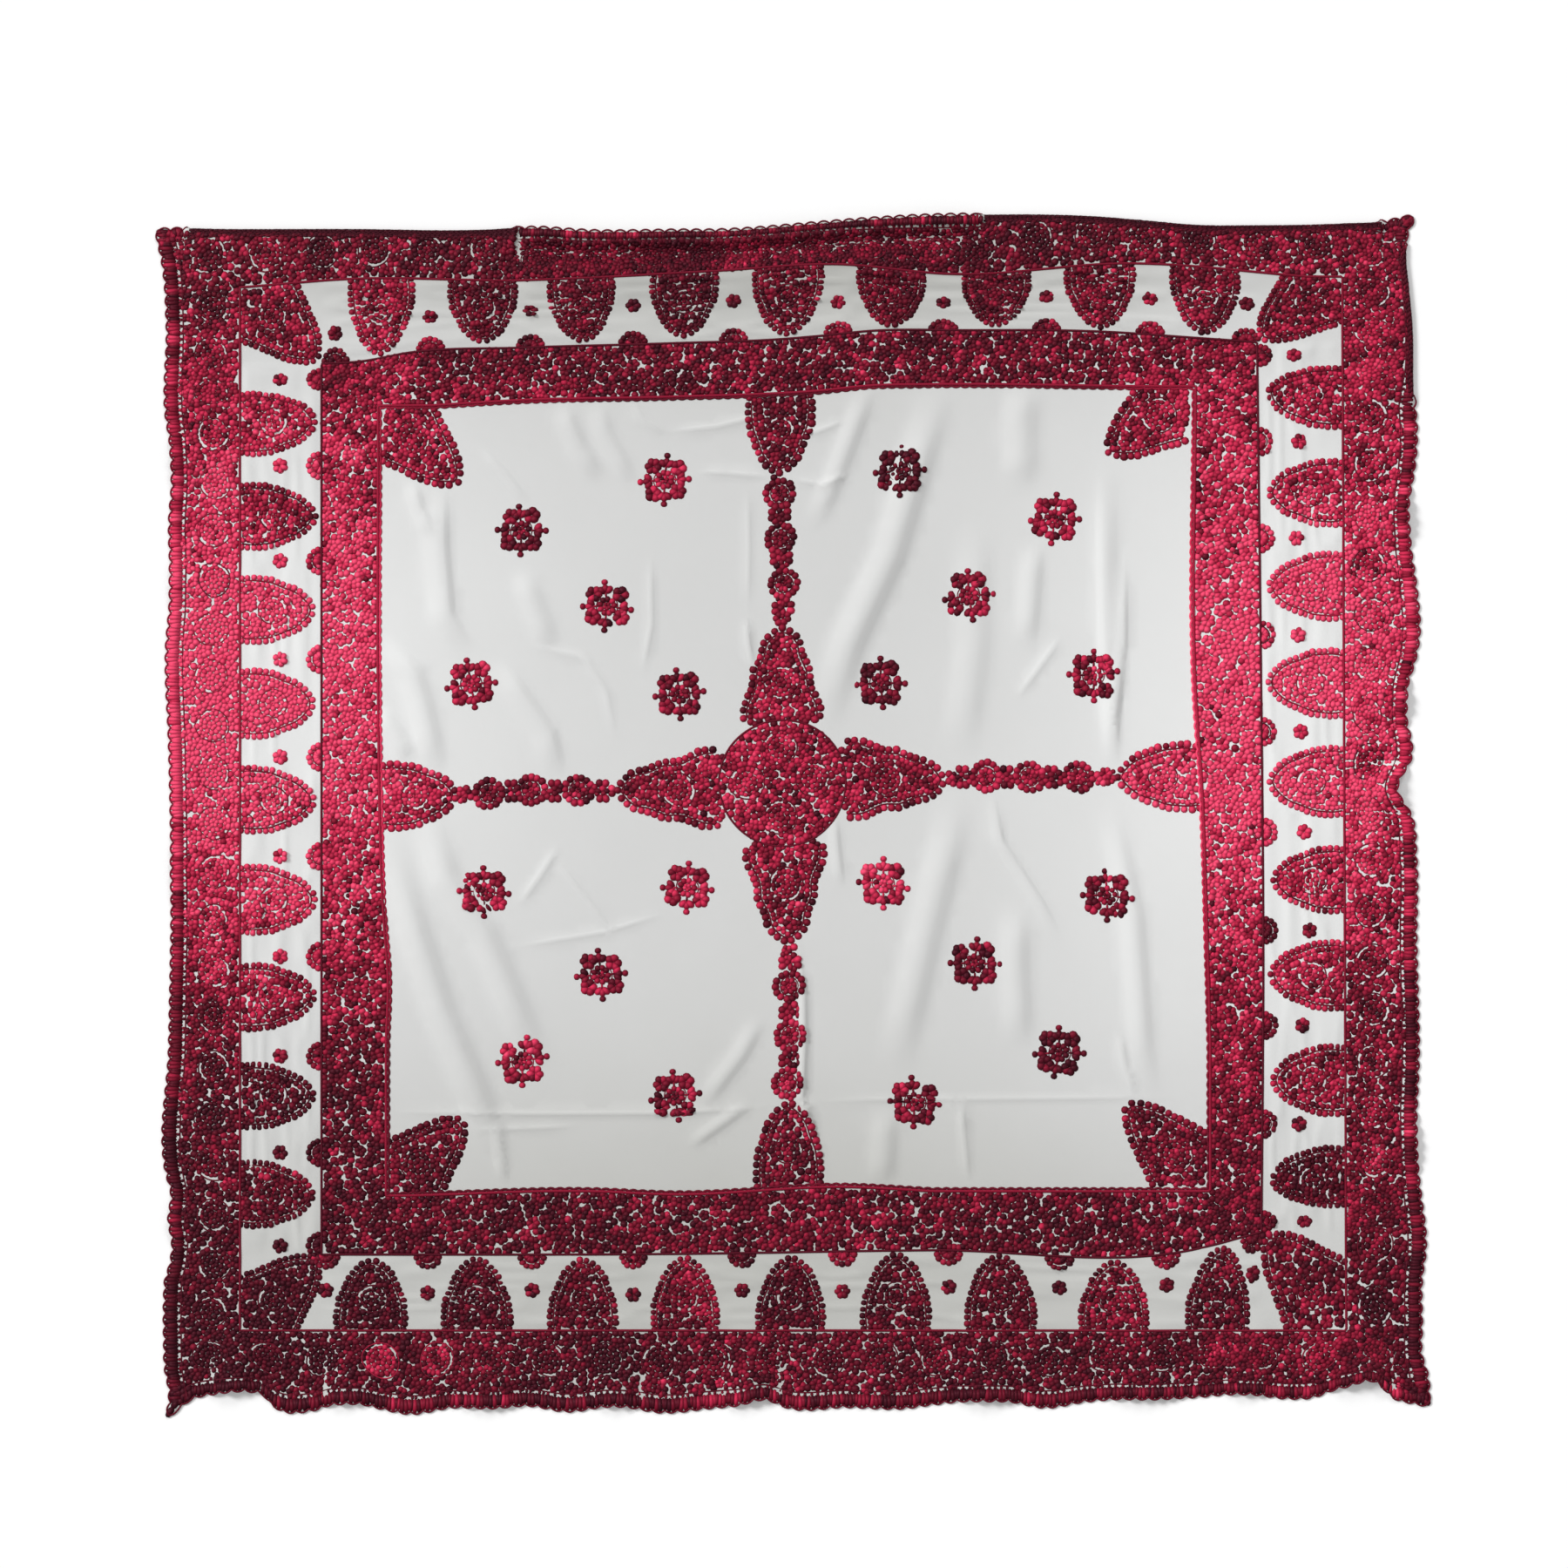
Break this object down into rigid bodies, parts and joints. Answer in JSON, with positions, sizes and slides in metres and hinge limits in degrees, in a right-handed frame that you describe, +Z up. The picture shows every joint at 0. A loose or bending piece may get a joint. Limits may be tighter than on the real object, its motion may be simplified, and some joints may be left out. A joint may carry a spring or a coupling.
{
  "type": "embroidered throw",
  "caption": "Large cotton throw laid flat, its borders and centre thickly embroidered with flowers and leaves, its hem scalloped.",
  "frame": {"origin": "on the surface under the middle of the throw's box, with the throw lying flat and face up", "axes": "+Z up out of the embroidered face, +Y towards the edge that is the upper one in the picture, +X to the right"},
  "size_m": [2.0466, 1.9297, 0.0173],
  "materials": {
    "cotton": "undyed woven cotton, matt",
    "silk": "untwisted dyed silk in satin stitch, soft sheen",
    "stem_thread": "twisted dyed thread in stem stitch, low sheen",
    "edging_thread": "twisted dyed thread in buttonhole stitch, low sheen"
  },
  "bodies": {
    "root": {"embroidered_throw": "cotton"}
  },
  "joints": []
}
